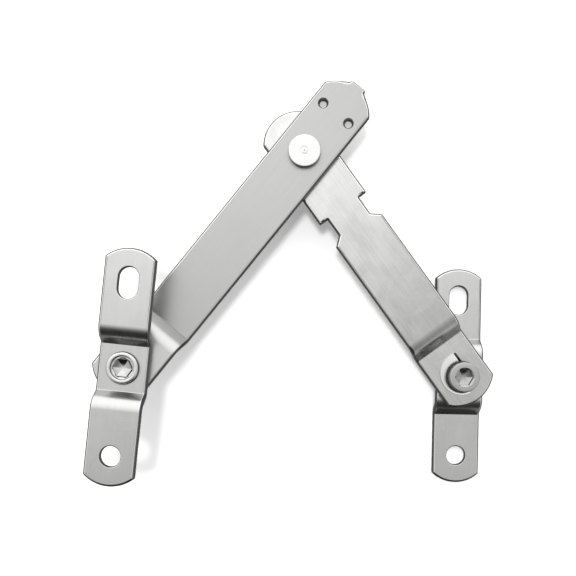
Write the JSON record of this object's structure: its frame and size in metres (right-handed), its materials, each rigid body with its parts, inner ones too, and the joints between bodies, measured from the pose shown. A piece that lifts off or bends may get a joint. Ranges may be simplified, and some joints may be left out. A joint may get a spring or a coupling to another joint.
{
  "type": "friction stay hinge",
  "caption": "Folding stay for a window vent: a notched arm and a stop arm riveted at an elbow, with a clamped friction pivot and a screwed bracket at each end.",
  "frame": {"origin": "middle of the round screw hole of the frame bracket, on its mounting face", "axes": "+Y along the frame bracket from the round hole to the slot; +Z from the frame's mounting face into the stack of arms; every joint turns about Z"},
  "size_m": [0.1123, 0.1138, 0.0273],
  "materials": {
    "pressed_stainless": "satin rolled strip, tumbled after pressing",
    "turned_stainless": "bright turned",
    "spring_steel": "satin",
    "nylon": "moulded"
  },
  "bodies": {
    "frame_side": {"frame_bracket": "pressed_stainless", "frame_barrel_nut": "turned_stainless", "frame_friction_washer": "nylon", "frame_spring_washer": "spring_steel", "frame_pivot_screw": "turned_stainless"},
    "lower_arm": {"notched_arm": "pressed_stainless", "elbow_rivet": "turned_stainless", "elbow_friction_washer": "nylon", "elbow_disc_spring": "spring_steel", "elbow_tail_washer": "turned_stainless"},
    "upper_arm": {"stop_arm": "pressed_stainless"},
    "sash_side": {"sash_bracket": "pressed_stainless", "sash_barrel_nut": "turned_stainless", "sash_friction_washer": "nylon", "sash_spring_washer": "spring_steel", "sash_pivot_screw": "turned_stainless"}
  },
  "joints": [
    {"name": "frame_pivot", "type": "hinge", "parent": "frame_side", "child": "lower_arm", "pos_m": [0, 0.0234, 0.0075], "axis": [0, 0, 1], "continuous": true},
    {"name": "elbow", "type": "hinge", "parent": "lower_arm", "child": "upper_arm", "pos_m": [-0.04641, 0.08522, 0.01365], "axis": [0, 0, 1], "range_deg": [-84.5, 234.1]},
    {"name": "sash_pivot", "type": "hinge", "parent": "upper_arm", "child": "sash_side", "pos_m": [-0.0939, 0.02422, 0.0198], "axis": [0, 0, 1], "continuous": true}
  ]
}
